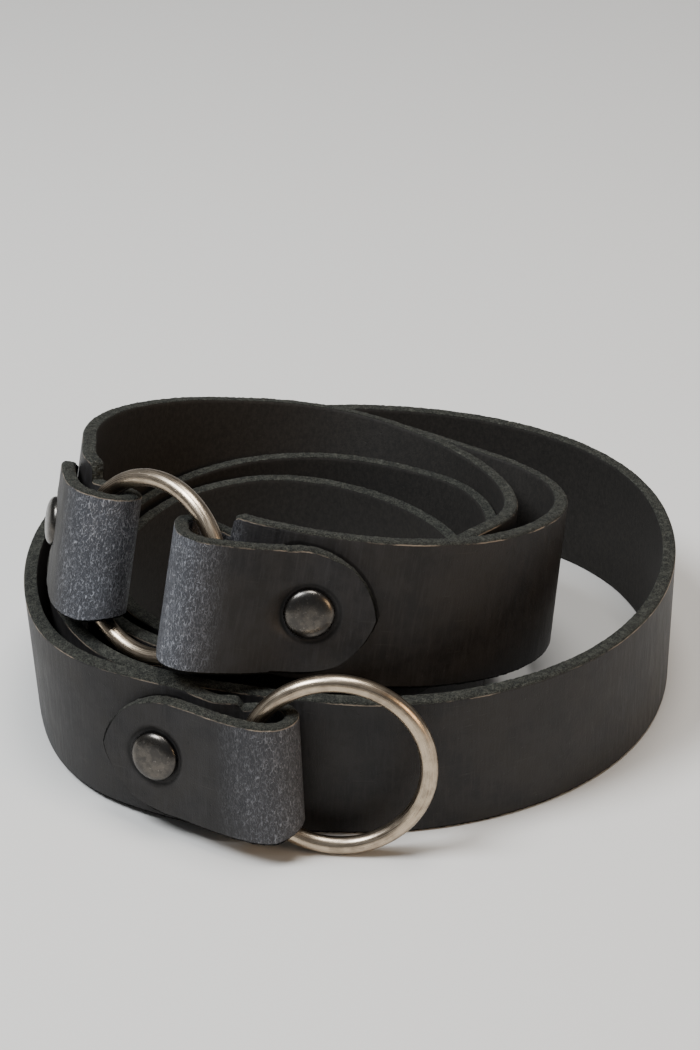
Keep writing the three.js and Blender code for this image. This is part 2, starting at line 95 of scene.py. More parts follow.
panel("window", (-0.5, -0.2, 0.88), (0, 0, 0.03), 0.42, 14, (0.90, 0.95, 1.0))
panel("warm_fill", (0.8, -0.45, 0.4), (0, 0, 0.03), 0.4, 3.0, (1.0, 0.70, 0.42))
panel("sky", (0.08, 0.02, 1.1), (0, 0, 0.03), 0.5, 9, (1.0, 0.99, 0.97))

world = bpy.data.worlds.new("studio")
bpy.context.scene.world = world
world.use_nodes = True
world.node_tree.nodes["Background"].inputs["Color"].default_value = (0.9, 0.92, 0.95, 1)
world.node_tree.nodes["Background"].inputs["Strength"].default_value = 0.2

bpy.ops.mesh.primitive_plane_add(size=6, location=(0, 0, 0))
floor = bpy.context.object
floor.name = "floor"
paper = bpy.data.materials.new("pale_paper")
paper.use_nodes = True
paper.node_tree.nodes["Principled BSDF"].inputs["Base Color"].default_value = (0.62, 0.605, 0.58, 1)
paper.node_tree.nodes["Principled BSDF"].inputs["Roughness"].default_value = 0.9
floor.data.materials.append(paper)
print("floor and three panels of light")

# %% [markdown]
# ## Sizes
#
# All sizes are in millimetres and are those of the CAD part, apart from a few that the picture
# shows more finely: the tongue, the cuts and the sag of the tabs, and the bevels. A tab is what
# folds round a ring. It is narrower than the strap, its cuts are measured from the end of the fold,
# and a worn fold shows more creases.

# %% Sizes
STRAP_WIDTH = 32
LEATHER = 3
FLAP_WIDTH = 27
TONGUE_WIDTH = 26.4
TIP_LENGTH = 16.5
SHOULDER_ROUND = 1.6
BEVEL_FACE = 0.7
BEVEL_BACK = 0.25
LAYER_GAP = 0.4  # between the flap and the tongue of a tab
RING_OUTER = 41.2
WIRE = 3.7
RING_RADIUS = (RING_OUTER - WIRE) / 2
CAP_DIAMETER = 10.5
CAP_HEIGHT = 1.9
CAP_EDGE = 0.08  # upright edge of a cap, before its dome
CAP_UNDER = 0.97  # share of a cap's radius at its underside
BACK_DIAMETER = 8.4
BACK_HEIGHT = 0.8
POST_DIAMETER = 3.4
HOLE_DIAMETER = 4.0
DENT_DIAMETER = 12.4
DENT_DEPTH = 0.4
CAP_GAP = 0.25  # between a cap and the flat leather of its dent
CAP_CLEAR = 0.06  # the least gap, where the leather curves
CAP_MARGIN = 0.5  # how far outside a cap curved leather is still pressed level
CAP_SLOPE = 0.8  # how steeply it may rise beyond that
CAP_REACH = 11  # length of strap to either side of a rivet that its cap can touch
END_TAB = dict(shoulder=11.8, rivet=34.1, tip=12.8, width=27.4,
               sag=0.4, pinch=2.5, droop=1.3, worn=0.46)
MIDDLE_TAB_FRONT = dict(shoulder=9.4, rivet=40.6, tip=13.9, width=29.7,
                        sag=1.45, pinch=2.7, droop=0, worn=1)
MIDDLE_TAB_SIDE = dict(shoulder=15.5, rivet=29, tip=13.9, width=29,
                       sag=1.1, pinch=2.3, droop=0, worn=0.85)
PINCH_REACH = 9  # from the end of a fold, where its lower edge is drawn up
DROOP_REACH = 16  # before a shoulder, where the upper edge droops
FLAP_RISE = 0.7  # of the end tab's flap above its tongue
TILT_RIGHT = 0.16  # slopes of the plane that the raised turns stand on
TILT_BACK = 0.22
TILT_POINT = np.array((-11, -55, 32.4))  # a point of that plane
WALK = 0.25  # step of the strap's middle line

# %% [markdown]
# ## The way that each strap runs
#
# A coil is easiest to describe as the owner winds it: so far round, so far out. The tables have a
# row for every few centimetres of strap. The lower turns stand on the floor, and the upper ones
# stand on a tilted plane across them, so a column blends from the one to the other. The folds are
# too tight for that and have a few points of their own.
#
# Columns: degrees round the coil from the front, clockwise from above; radius of the outer face;
# lift, 0 on the floor and 1 in the raised coil; flare, how far the top leans outwards; rise of the
# foot; rake, how far the top leans along the strap. A row leaves out the zeros at its end.

# %% Routes and folds
FRONT_ROUTE = [
    (20, 68.6, 0, -5, 1.6, 3), (30, 68.5, 0, -4.5, 1.4, 2), (45, 70.7, 0, -1.5, 0.8, 1),
    (60, 70.6, 0, 2.5, 0.1), (75, 68.6, 0, 3), (90, 67.6, 0, 1), (120, 66.5), (150, 67.0),
    (180, 68.2), (210, 72.0), (240, 77.4), (270, 75.8), (300, 72.3), (330, 67.3),
    (350, 64.4, 0, -1), (370, 62.6, 0, -4), (390, 64.3, 0, -4), (405, 66.0, 0, -2), (420, 65.2),
    (435, 63.6, 0, 2), (450, 62.8, 0, 1), (480, 61.0, 0.12), (510, 57.4, 0.35), (540, 52.6, 0.6),
    (570, 44.6, 0.85), (585, 42.2, 0.95), (600, 44.2, 1), (615, 47.5, 1), (630, 49.6, 1, -2),
    (660, 50.3, 1, -4), (690, 51.8, 1, -1), (720, 54.4, 1), (742, 55.8, 1),
]
TAIL_ROUTE = [
    (75, 59.2, 1), (90, 58.1, 1), (120, 53.7, 1), (150, 48.9, 1), (180, 45.8, 1),
    (210, 39.7, 1, -2), (240, 37.5, 1, -6), (270, 38.5, 1, -7), (300, 42.4, 1, -5),
    (330, 46.2, 0.92), (345, 48.0, 0.7), (360, 49.7, 0.4), (375, 51.2, 0.1), (390, 53.1),
    (420, 56.8), (450, 53.8), (480, 49.2, 0.02), (510, 43.8, 0.1), (540, 38.2, 0.2),
    (570, 33.7, 0.35), (600, 33.0, 0.5), (630, 34.6, 0.55, -1), (660, 38.3, 0.45, -2),
    (690, 41.7, 0.25, -1), (720, 44.8, 0.08), (750, 48.2), (780, 51.6), (810, 48.6), (840, 43.6),
    (870, 37.2), (900, 29.9), (930, 26.0), (960, 26.0), (990, 29.0), (1020, 33.0), (1062, 38.6),
]
# Folds, from the flap round to the tongue: x, y of the leather's middle, and its rise
END_FOLD = [
    (-30.5, -63.6, 2.3), (-24.2, -67.7, 2.6), (-18.2, -70.8, 2.7), (-13.2, -72.1, 2.7),
    (-9.4, -71.1, 2.7), (-7.7, -67.9, 2.7), (-9.2, -64.7, 2.6), (-13.2, -63.5, 2.3),
    (-17.4, -63.2, 2.0),
]
MIDDLE_FOLD_SIDE = [
    (-60.0, -20.5), (-59.2, -28.0), (-57.9, -33.8), (-55.4, -37.8), (-51.8, -39.6),
    (-48.6, -39.8), (-45.8, -37.8), (-45.4, -34.1), (-48.3, -30.7), (-51.7, -27.9),
    (-54.4, -24.7), (-55.8, -20.4),
]
MIDDLE_FOLD_FRONT = [
    (-28.0, -45.7), (-32.0, -45.2), (-34.6, -47.6), (-35.0, -52.0), (-34.2, -56.4),
    (-31.6, -59.2), (-27.0, -59.9), (-19.5, -58.9),
]
END_RING_SPOT = (0.7, -68.2)
END_RING_FACES = Vector((-0.08, -0.993, 0.09)).normalized()
MIDDLE_RING_SPOT = (-39.8, -42.8)
MIDDLE_RING_FACES = Vector((-0.612, -0.744, 0.265)).normalized()

# %% [markdown]
# ## From a table to a line in space
#
# A natural spline passes smoothly through the rows. The line that it gives is walked in short
# steps. Each step keeps four things: how much strap has been used up, where the middle of the
# leather is, which way is up along the strap's width, and which way its outer face looks.


# %% Spline and standing place
def spline(knots, values):
    """Natural cubic spline through values at rising knots."""
    knots = np.asarray(knots, float)
    values = np.asarray(values, float)
    last = len(knots) - 1
    bend = np.zeros(last + 1)
    carry = np.zeros(last + 1)
    for i in range(1, last):
        before = knots[i] - knots[i - 1]
        after = knots[i + 1] - knots[i]
        jump = (values[i + 1] - values[i]) / after - (values[i] - values[i - 1]) / before
        pivot = 2 * (before + after) - before * carry[i - 1]
        carry[i] = after / pivot
        bend[i] = (6 * jump - before * bend[i - 1]) / pivot
    for i in range(last - 1, 0, -1):
        bend[i] -= carry[i] * bend[i + 1]

    def at(where):
        where = np.asarray(where, float)
        i = np.clip(np.searchsorted(knots, where, side="left") - 1, 0, last - 1)
        span = knots[i + 1] - knots[i]
        b = (where - knots[i]) / span
        a = 1 - b
        curve = ((a**3 - a) * bend[i] + (b**3 - b) * bend[i + 1]) * span * span / 6
        return a * values[i] + b * values[i + 1] + curve

    return at


def unit(vectors):
    return vectors / np.linalg.norm(vectors, axis=-1, keepdims=True)


UP = np.array((0.0, 0.0, 1.0))
TILT_UP = unit(np.array((TILT_RIGHT, TILT_BACK, 1.0)))
TILT_ACROSS = unit(np.array((1.0, 0.0, -TILT_RIGHT)))
TILT_AWAY = np.cross(TILT_UP, TILT_ACROSS)


def place(knots, height):
    """Points at a height above the strap's middle line. The columns of knots are x, y, lift, flare,
    rise of the foot and rake."""
    x, y, lift, flare, rise, rake = np.asarray(knots, float).T
    lean = np.radians(np.abs(flare))
    foot = (STRAP_WIDTH * np.cos(lean) + LEATHER * np.sin(lean)) / 2
    standing = np.stack((x, y, foot), 1)
    tilted = (TILT_POINT + (x - TILT_POINT[0])[:, None] * TILT_ACROSS
              + (y - TILT_POINT[1])[:, None] * TILT_AWAY + TILT_UP * STRAP_WIDTH / 2)
    outwards = unit(np.stack((x, y, np.zeros(len(x))), 1))
    onwards = np.stack((outwards[:, 1], -outwards[:, 0], np.zeros(len(x))), 1)
    lift = lift[:, None]
    rising = (unit(UP + (TILT_UP - UP) * lift) + outwards * np.tan(np.radians(flare))[:, None]
              + onwards * np.tan(np.radians(rake))[:, None])
    return standing + (tilted - standing) * lift + UP * rise[:, None] + unit(rising) * height


# %% [markdown]
# The knots of a strap come from its route, and at the folds from the fold's own points, which
# stand as the route stands there.


# %% The line of a strap
def filled(rows, width):
    """A table with the zeros that its rows leave out."""
    return np.array([row + (0,) * (width - len(row)) for row in rows], float)


def route_of(rows):
    columns = filled(rows, 6).T
    return [spline(columns[0], values) for values in columns[1:]]


def knots_along(route, start, end, step, shift=0.0, lifted=0.0):
    count = max(1, round(abs(end - start) / step))
    degrees = start + (end - start) * np.arange(count + 1) / count
    radius, lift, flare, rise, rake = [column(degrees) for column in route]
    turn = np.radians(degrees)
    reach = radius - LEATHER / 2 + shift
    return np.stack((-reach * np.sin(turn), -reach * np.cos(turn), np.clip(lift, 0, 1),
                     flare, np.maximum(rise, 0) + lifted, rake), 1)


def fold_knots(points, route, degrees):
    stand = knots_along(route, degrees, degrees, 1)[0]
    return np.array([(x, y, stand[2], stand[3], rise, stand[5]) for x, y, rise in filled(points, 3)])


def line_through(*stretches):
    """The strap's middle line: length, middle, onwards, rising and facing at each short step."""
    knots = np.concatenate(stretches)
    steps = np.linalg.norm(np.diff(knots[:, :2], axis=0), axis=1)
    reach = np.concatenate(([0], np.cumsum(steps)))
    smooth = [spline(reach, column) for column in knots.T]
    count = math.ceil(reach[-1] / WALK)
    along = reach[-1] * np.arange(count + 1) / count

    def at(where):
        made = np.stack([column(where) for column in smooth], 1)
        made[:, 2] = np.clip(made[:, 2], 0, 1)
        made[:, 4] = np.maximum(made[:, 4], 0)
        return made

    middle = place(at(along), 0)
    ahead = place(at(np.minimum(reach[-1], along + WALK)), 0)
    behind = place(at(np.maximum(0, along - WALK)), 0)
    onwards = unit(ahead - behind)
    rising = place(at(along), 1) - middle
    facing = unit(np.cross(rising, onwards))
    walked = np.linalg.norm(np.diff(middle, axis=0), axis=1)
    length = np.concatenate(([0], np.cumsum(walked)))
    return dict(length=length, middle=middle, onwards=onwards, rising=rising, facing=facing)


front_route = route_of(FRONT_ROUTE)
tail_route = route_of(TAIL_ROUTE)
front_line = line_through(
    knots_along(front_route, 46, 33, 4.3, LEATHER + LAYER_GAP, FLAP_RISE),
    fold_knots(END_FOLD, front_route, 20),
    knots_along(front_route, 20, 742, 5),
    fold_knots(MIDDLE_FOLD_FRONT, front_route, 742),
    knots_along(front_route, 728, 708, 4, LEATHER + LAYER_GAP),
)
tail_line = line_through(
    knots_along(tail_route, 94, 78, 4, LEATHER + LAYER_GAP),
    fold_knots(MIDDLE_FOLD_SIDE, tail_route, 75),
    knots_along(tail_route, 80, 1062, 5),
)
print("front line %.0f mm, tail line %.0f mm" % (front_line["length"][-1], tail_line["length"][-1]))

# %% [markdown]
# ## Tabs
#
# The end of a fold is where the line turns back most sharply. The rivet goes through the flap at a
# set distance from it, and through the nearest point of the tongue behind.


# %% Find the folds and the rivets
LOOK = 8  # steps to either side that the turning is taken over
FOLD_ROOM = 25  # strap that a fold takes up at most, besides its flap


def turning(line, start, end):
    """The step between start and end where the line turns back most sharply."""
    onwards, length = line["onwards"], line["length"]
    inside = np.arange(LOOK, len(length) - LOOK)
    turned = np.einsum("ij,ij->i", onwards[inside - LOOK], onwards[inside + LOOK])
    turned[(length[inside] < start) | (length[inside] > end)] = 1
    return int(inside[np.argmin(turned)])


def tab_of(line, cut, at_end):
    length, middle = line["length"], line["middle"]
    reach = cut["rivet"] + cut["tip"] + FOLD_ROOM
    whole = length[-1]
    bend = turning(line, whole - reach, whole) if at_end else turning(line, 0, reach)
    away = 1 if at_end else -1
    fold = length[bend]
    flap = int(np.argmin(np.abs(length - (fold + away * cut["rivet"]))))
    behind = np.flatnonzero((length - fold) * away < -cut["shoulder"])
    near = behind[np.argmin(np.linalg.norm(middle[behind] - middle[flap], axis=1))]
    gap = middle[flap] - middle[near]
    return dict(cut=cut, away=away, fold=fold, tip=fold + away * (cut["rivet"] + cut["tip"]),
                rivet=length[flap], opposite=length[near], axis=unit(gap),
                point=(middle[flap] + middle[near]) / 2, leaves=np.linalg.norm(gap) + LEATHER)


end_tab = tab_of(front_line, END_TAB, False)
middle_tab_front = tab_of(front_line, MIDDLE_TAB_FRONT, True)
middle_tab_side = tab_of(tail_line, MIDDLE_TAB_SIDE, False)
for tab in (end_tab, middle_tab_front, middle_tab_side):
    print("fold at %.1f mm, tip at %.1f mm" % (tab["fold"], tab["tip"]))

# %% [markdown]
# ## The outline of a flat strap
#
# The strap is cut with parallel edges. At a tab it steps down over a rounded shoulder, narrows
# towards the rivet and ends in a pointed arch. Two arcs make the arch: they leave the edges
# smoothly and meet in a blunt point.


# %% Outline
def smoothstep(value, low, high):
    share = np.clip((value - low) / (high - low), 0, 1)
    return share * share * (3 - 2 * share)


def arch_half(half, distance):
    bow = (TIP_LENGTH**2 + half**2) / (2 * half)
    short = np.maximum(TIP_LENGTH - np.maximum(distance, 0), 0)
    return half - bow + np.sqrt(bow**2 - short**2)


def arch_distance(half, height):
    bow = (TIP_LENGTH**2 + half**2) / (2 * half)
    return TIP_LENGTH - np.sqrt(np.maximum(bow**2 - (height - half + bow) ** 2, 0))


SHOULDER_STEP = 0.35  # length of strap over which the outline steps down at a shoulder


def edges_at(length, tabs):
    """Upper and lower edge of a strap at each length, its pointed ends left out."""
    upper = np.full(len(length), STRAP_WIDTH / 2)
    lower = -upper
    for tab in tabs:
        cut = tab["cut"]
        past = (length - tab["fold"]) * tab["away"]
        even = cut["rivet"] + cut["tip"] - TIP_LENGTH
        share = np.clip(past / even, 0, 1)
        behind = np.clip(-past / cut["shoulder"], 0, 1)
        half = (cut["width"] + (FLAP_WIDTH - cut["width"]) * share
                + (TONGUE_WIDTH - cut["width"]) * behind) / 2
        sag = cut["sag"] * (1 - share)
        on_tab = past > -cut["shoulder"]
        upper = upper - cut["droop"] * smoothstep(past, -cut["shoulder"] - DROOP_REACH, -cut["shoulder"])
        upper = np.where(on_tab, half - sag, upper)
        lower = np.where(on_tab, -half - sag, lower)
        inside = np.clip(-past - cut["shoulder"], 0, SHOULDER_ROUND)
        drop = SHOULDER_ROUND - np.sqrt(SHOULDER_ROUND**2 - (SHOULDER_ROUND - inside) ** 2)
        rounded = ~on_tab & (past > -cut["shoulder"] - SHOULDER_ROUND)
        upper = np.where(rounded, upper - drop, upper)
        lower = np.where(rounded, lower + drop, lower)
        pinched = 1 - smoothstep(np.abs(past), 0, PINCH_REACH)
        lower = np.where(np.abs(past) < PINCH_REACH, lower + cut["pinch"] * pinched, lower)
    return upper, lower


# %% [markdown]
# ## Cutting the flat strap
#
# A grid primitive is the right start for a strap: its columns run across the leather, close
# together where it will fold and far apart where it only curves. The last columns are pushed out
# into the arch, so that the faces stay nearly square right up to the point. Then the holes for
# the rivets are punched and Solidify gives the leather its 3 mm.

# %% Columns of the grid
FINE = 0.62
COARSE = 2.6
ROWS = 36
PAST_SHOULDER = 4  # how far past its shoulder a tab keeps fine columns
PAST_CAP = 9  # and past the middle of the cap on its tongue
PAST_ARCH = 3  # and before the arch of a free tip
COARSEN = 14  # over which the columns grow from fine to coarse
SHORTEST = 0.3  # a last column narrower than this is left out


def columns_of(line, tabs, free_tip):
    ends = [0.0, line["length"][-1]]
    busy = []
    for tab in tabs:
        ends[0 if tab["away"] < 0 else 1] = tab["tip"]
        shoulder = tab["fold"] - tab["away"] * (tab["cut"]["shoulder"] + PAST_SHOULDER)
        beyond = tab["opposite"] - tab["away"] * PAST_CAP
        inner = min(shoulder, beyond) if tab["away"] > 0 else max(shoulder, beyond)
        busy.append(sorted((tab["tip"], inner)))
    if free_tip:
        busy.append([ends[1] - TIP_LENGTH - PAST_ARCH, ends[1]])
    places = [ends[0]]
    while places[-1] < ends[1] - SHORTEST:
        here = places[-1]
        near = min(max(0, low - here, here - high) for low, high in busy)
        places.append(min(ends[1], here + FINE + (COARSE - FINE) * min(1, near / COARSEN)))
    places = np.array(places)
    for tab in tabs:
        edge = tab["fold"] - tab["away"] * tab["cut"]["shoulder"]
        nearest = int(np.argmin(np.abs(places - edge)))
        places[nearest] = edge
        places[nearest + tab["away"]] = edge + tab["away"] * SHOULDER_STEP
    return places, ends


# %% Push the last columns out into an arch
SIDE_SHARE = 0.55  # of the arch is made of the columns' ends, and the last column runs round the rest
ARCH_REACH = 1.25  # tip lengths over which the columns move


def arch_columns(x, y, places, end, away, half):
    """Moves the columns within reach of a pointed end so that the last one follows its arch."""
    reach = TIP_LENGTH * ARCH_REACH
    within = np.abs(places - end) < reach
    share = np.clip(1 - np.abs(places - end) / reach, 0, 1)
    side = TIP_LENGTH * (1 - SIDE_SHARE)
    corner = arch_half(half, side)
    rows = y / np.abs(y).max(axis=1, keepdims=True)
    nose = arch_distance(half, np.abs(rows[0]) * corner)
    for i in np.flatnonzero(within):
        distance = side + (reach - side) * (1 - share[i])
        edge = arch_half(half, distance) if distance < TIP_LENGTH else half
        bulge = (side - nose) * share[i] ** 2
        y[i] = rows[i] * edge
        x[i] = end - away * (distance - bulge)


# %% The flat strap
def points_of(mesh):
    co = np.zeros(len(mesh.vertices) * 3)
    mesh.vertices.foreach_get("co", co)
    return co.reshape(-1, 3)


def move_points(mesh, co):
    mesh.vertices.foreach_set("co", co.astype(np.float32).ravel())
    mesh.update()


def flat_strap(name, line, tabs, free_tip):
    places, ends = columns_of(line, tabs, free_tip)
    bpy.ops.object.select_all(action="DESELECT")
    bpy.ops.mesh.primitive_grid_add(x_subdivisions=len(places) - 1, y_subdivisions=ROWS, size=2)
    strap = bpy.context.object
    strap.name = name
    upper, lower = edges_at(places, tabs)
    share = np.linspace(0, 1, ROWS + 1)
    x = np.repeat(places[:, None], ROWS + 1, 1)
    y = lower[:, None] + (upper - lower)[:, None] * share
    for tab in tabs:
        arch_columns(x, y, places, tab["tip"], tab["away"], FLAP_WIDTH / 2)
    if free_tip:
        arch_columns(x, y, places, ends[1], 1, STRAP_WIDTH / 2)
    co = points_of(strap.data)
    i = np.rint((co[:, 0] + 1) / 2 * (len(places) - 1)).astype(int)
    j = np.rint((co[:, 1] + 1) / 2 * ROWS).astype(int)
    co[:, 0], co[:, 1], co[:, 2] = x[i, j] * MM, y[i, j] * MM, 0
    move_points(strap.data, co)
    punch(strap, tabs)
    thicken(strap)
    divide_cut_sides(strap)
    dress_edges(strap, tabs)
    print(name, "cut flat,", len(strap.data.vertices), "vertices")
    return strap


# %% [markdown]
# A punched hole is made as on the bench: the faces under the punch are taken out, and the corners
# left round it are drawn onto the circle. Bevel can't follow an edge that is pressed and rough, so
# the cut sides are divided into rows, the outer rows are drawn in along a slightly flattened
# quarter circle, as an edge tool cuts, and a little noise leaves the fibres of the knife's cut.


# %% Punch, thickness and edges
RIM_ROWS = (0, 0.45, 0.85, 1.15, 1.37, LEATHER / 2)  # rows on a cut side, from its middle outwards
HOLE_RING = 1.12  # corners within this many radii of a hole go onto its edge
HOLE_NEAR = 1.25  # and those within this many onto a circle of HOLE_RING radii
LONG_EDGE = 1.2  # longer rim edges are cut in six
SHORT_EDGE = 0.55  # and then those still longer than this in two
LEVEL = 0.01  # a rise that counts as none
FLATTENED = 1.6  # 2 would leave a true quarter circle
FIBRES = ((0.5, 0.15), (1.3, 0.11), (11, 0.10))  # size and depth of the roughness
CORNER_RUBBED = 0.5  # share of it that is left on the corners


def hole_places(tabs):
    return [tab[leaf] for tab in tabs for leaf in ("rivet", "opposite")]


def cut_faces(mesh):
    """The faces of a flat strap's cut sides, which look sideways."""
    return [face for face in mesh.polygons if abs(face.normal.z) < 0.5]


def choose(kind, parts, chosen):
    """Opens the strap for editing with only the chosen ones of its faces or edges selected."""
    bpy.ops.object.mode_set(mode="EDIT")
    bpy.ops.mesh.select_mode(type=kind)
    bpy.ops.mesh.select_all(action="DESELECT")
    bpy.ops.object.mode_set(mode="OBJECT")
    parts.foreach_set("select", chosen)
    bpy.ops.object.mode_set(mode="EDIT")


def punch(strap, tabs):
    radius = HOLE_DIAMETER / 2 * MM
    spots = [Vector((hole * MM, 0, 0)) for hole in hole_places(tabs)]
    faces = strap.data.polygons
    choose("FACE", faces, [any((face.center - spot).length < radius for spot in spots) for face in faces])
    bpy.ops.mesh.delete(type="FACE")
    bpy.ops.object.mode_set(mode="OBJECT")
    for vertex in strap.data.vertices:
        for spot in spots:
            away = vertex.co - spot
            if away.length < radius * HOLE_NEAR:
                drawn_to = 1 if away.length < radius * HOLE_RING else HOLE_RING
                vertex.co = spot + away.normalized() * radius * drawn_to


def thicken(strap):
    solid = strap.modifiers.new("thickness", "SOLIDIFY")
    solid.thickness = LEATHER * MM
    solid.offset = 0
    bpy.ops.object.modifier_apply(modifier=solid.name)


def edges_of(mesh):
    """Length and rise of every edge, and whether it belongs to a cut side."""
    co = points_of(mesh) / MM
    ends = np.zeros(len(mesh.edges) * 2, int)
    mesh.edges.foreach_get("vertices", ends)
    step = co[ends[1::2]] - co[ends[::2]]
    cut_side = np.zeros(len(mesh.edges), bool)
    for face in cut_faces(mesh):
        for loop in face.loop_indices:
            cut_side[mesh.loops[loop].edge_index] = True
    return np.linalg.norm(step, axis=1), np.abs(step[:, 2]), cut_side


def subdivide(strap, chosen, cuts):
    choose("EDGE", strap.data.edges, chosen)
    bpy.ops.mesh.subdivide(number_cuts=cuts)
    bpy.ops.object.mode_set(mode="OBJECT")


def divide_cut_sides(strap):
    length, rise, cut_side = edges_of(strap.data)
    subdivide(strap, cut_side & (rise > 1), len(RIM_ROWS) * 2 - 3)
    length, rise, cut_side = edges_of(strap.data)
    subdivide(strap, cut_side & (rise < LEVEL) & (length > LONG_EDGE), 5)
    length, rise, cut_side = edges_of(strap.data)
    subdivide(strap, cut_side & (rise < LEVEL) & (length > SHORT_EDGE), 1)


def bevel_of(depth, size):
    """How far the edge tool has taken the cut side back, at a depth above the strap's middle."""
    share = np.clip((depth - LEATHER / 2 + size) / size, 0, 1) ** FLATTENED
    return size * (1 - (1 - share) ** (1 / FLATTENED))


def dress_edges(strap, tabs):
    """Runs the edge tool along the cut sides, and roughs up their fibres."""
    mesh = strap.data
    flat = points_of(mesh) / MM
    on_rim = np.zeros(len(flat), bool)
    for face in cut_faces(mesh):
        on_rim[list(face.vertices)] = True
    for hole in hole_places(tabs):
        on_rim &= np.hypot(flat[:, 0] - hole, flat[:, 1]) > HOLE_DIAMETER
    outwards = np.array([vertex.normal.to_2d().normalized() for vertex in mesh.vertices])
    rim = np.flatnonzero(on_rim)
    side = np.sign(flat[rim, 2])
    deep = np.interp(np.abs(flat[rim, 2]), np.linspace(0, LEATHER / 2, len(RIM_ROWS)), RIM_ROWS)
    back = rough_side(flat[rim], tabs) * (side < 0)
    taken = bevel_of(deep, BEVEL_FACE) * (1 - back) + bevel_of(deep, BEVEL_BACK) * back
    flat[rim, 2] = side * deep
    rough = np.array([sum(noise3(point / size) * deepest for size, deepest in FIBRES)
                      for point in map(Vector, flat[rim])])
    rough *= np.where(deep > LEATHER / 2 - LEVEL, CORNER_RUBBED, 1)
    flat[rim, :2] += outwards[rim] * (rough - taken)[:, None]
    move_points(mesh, flat * MM)


# %% [markdown]
# ## Pressing and winding
#
# Setting a rivet presses its caps into the leather. The dent is made while the strap is flat.
# Before the strap is wound, every point writes down where it was on the flat leather, so that the
# finish can be drawn in those coordinates. It also writes down how much its fold has creased the
# leather there, whether its back is plain, and how far it is from a cap and from a flap.

# %% What wear and pressing do, and where painted shadow lies, in mm
DENT_WALL = (DENT_DIAMETER / 2 - 0.5, DENT_DIAMETER / 2 + 0.2)
LIP_RADIUS = DENT_DIAMETER / 2 + 0.9
LIP_WIDTH = 0.7
LIP_HEIGHT = 0.08
PRESSED = (LEATHER / 2 - 0.9, LEATHER / 2 - 0.1)  # depths where pressing starts, and shows fully
NO_CAP = 20  # from_caps where there is no cap
NO_FLAP = 9.0  # from_flap where no flap is near
FLAP_NEAR = 6  # how far past its tip a flap still counts
FLAP_SLANT = 0.85  # a flap's edge runs slanting, so its distance is less than its height says
# A painted shadow of each flap is laid on the strap beside it
SHADOW_BELOW = 0.7  # how much further out the painted shadow reaches below a flap than above it
SHADOW_LOW = 0.7  # share of the flap's half width below which it reaches that far
SHADOW_FADES = (14, 4)  # before the shoulder, from all of it to none
SHADOW_GONE = 5  # distance that is added there
CREASE_BEFORE = (-14, -5)  # before the end of the fold, from none to all creased
CREASE_AFTER = (0.26, 0.60)  # shares of the way to the rivet, from all to none
DRESSED = (-2, 6)  # from the shoulder, from a plain back to a dressed one


# %% Press the dents and write down the wear and the places of painted shade
def write_down(mesh, name, values):
    """Keeps one number or one place for each point of a mesh, where a finish can read it."""
    kind, field = ("FLOAT", "value") if values.ndim == 1 else ("FLOAT_VECTOR", "vector")
    written = mesh.attributes.new(name, kind, "POINT")
    written.data.foreach_set(field, values.astype(np.float32).ravel())


def past_fold(flat, tab):
    return (flat[:, 0] - tab["fold"]) * tab["away"]


def from_caps(flat, tabs):
    """How far a point is from the middle of the nearest cap. All caps sit on the strap's back."""
    far = [np.hypot(flat[:, 0] - hole, flat[:, 1]) for hole in hole_places(tabs)]
    return np.where(flat[:, 2] < 0, np.min(far, axis=0), NO_CAP)


def from_flap(flat, tabs):
    """How far a point of the strap's face is outside the flap that is folded over it. A painted
    shadow of the flap is laid there, reaching further out below the flap than above it."""
    outside = np.full(len(flat), NO_FLAP)
    for tab in tabs:
        past, shoulder = past_fold(flat, tab), tab["cut"]["shoulder"]
        over = tab["rivet"] + tab["opposite"] - flat[:, 0]
        upper, lower = edges_at(over, [tab])
        half, below = (upper - lower) / 2, (upper + lower) / 2 - flat[:, 1]
        to_tip = (tab["tip"] - over) * tab["away"]
        away = (np.abs(below) - arch_half(half, to_tip)) * FLAP_SLANT + np.maximum(-to_tip, 0)
        away -= SHADOW_BELOW * smoothstep(below, 0, half * SHADOW_LOW)
        begins, ends = [-shoulder - before for before in SHADOW_FADES]
        away += SHADOW_GONE * smoothstep(past, begins, ends)
        covered = (past < -shoulder) & (to_tip > -FLAP_NEAR) & (flat[:, 2] > 0)
        outside = np.where(covered, np.minimum(outside, away), outside)
    return outside


def press(flat, far):
    """Presses a round dent under each cap, with a low lip round it."""
    dent = 1 - smoothstep(far, *DENT_WALL)
    lip = np.exp(-(((far - LIP_RADIUS) / LIP_WIDTH) ** 2)) * LIP_HEIGHT
    flat[:, 2] += smoothstep(-flat[:, 2], *PRESSED) * (DENT_DEPTH * dent - lip)


def creasing(flat, tabs):
    """How much the folds have creased the leather, from 0 to 1."""
    crease = np.zeros(len(flat))
    for tab in tabs:
        past = past_fold(flat, tab)
        begins, ends = [share * tab["cut"]["rivet"] for share in CREASE_AFTER]
        here = smoothstep(past, *CREASE_BEFORE) * (1 - smoothstep(past, begins, ends))
        crease = np.maximum(crease, here * tab["cut"]["worn"])
    return crease


def rough_side(flat, tabs):
    """1 where the leather's back is left plain, 0 on the tabs, whose back is dressed as the face is."""
    plain = np.ones(len(flat))
    for tab in tabs:
        begins, ends = [step - tab["cut"]["shoulder"] for step in DRESSED]
        plain = np.minimum(plain, 1 - smoothstep(past_fold(flat, tab), begins, ends))
    return plain


# %% Wind the strap
def cap_height(tab):
    """Where the underside of a tab's caps is, from halfway between its leaves."""
    return tab["leaves"] / 2 - DENT_DEPTH + CAP_GAP


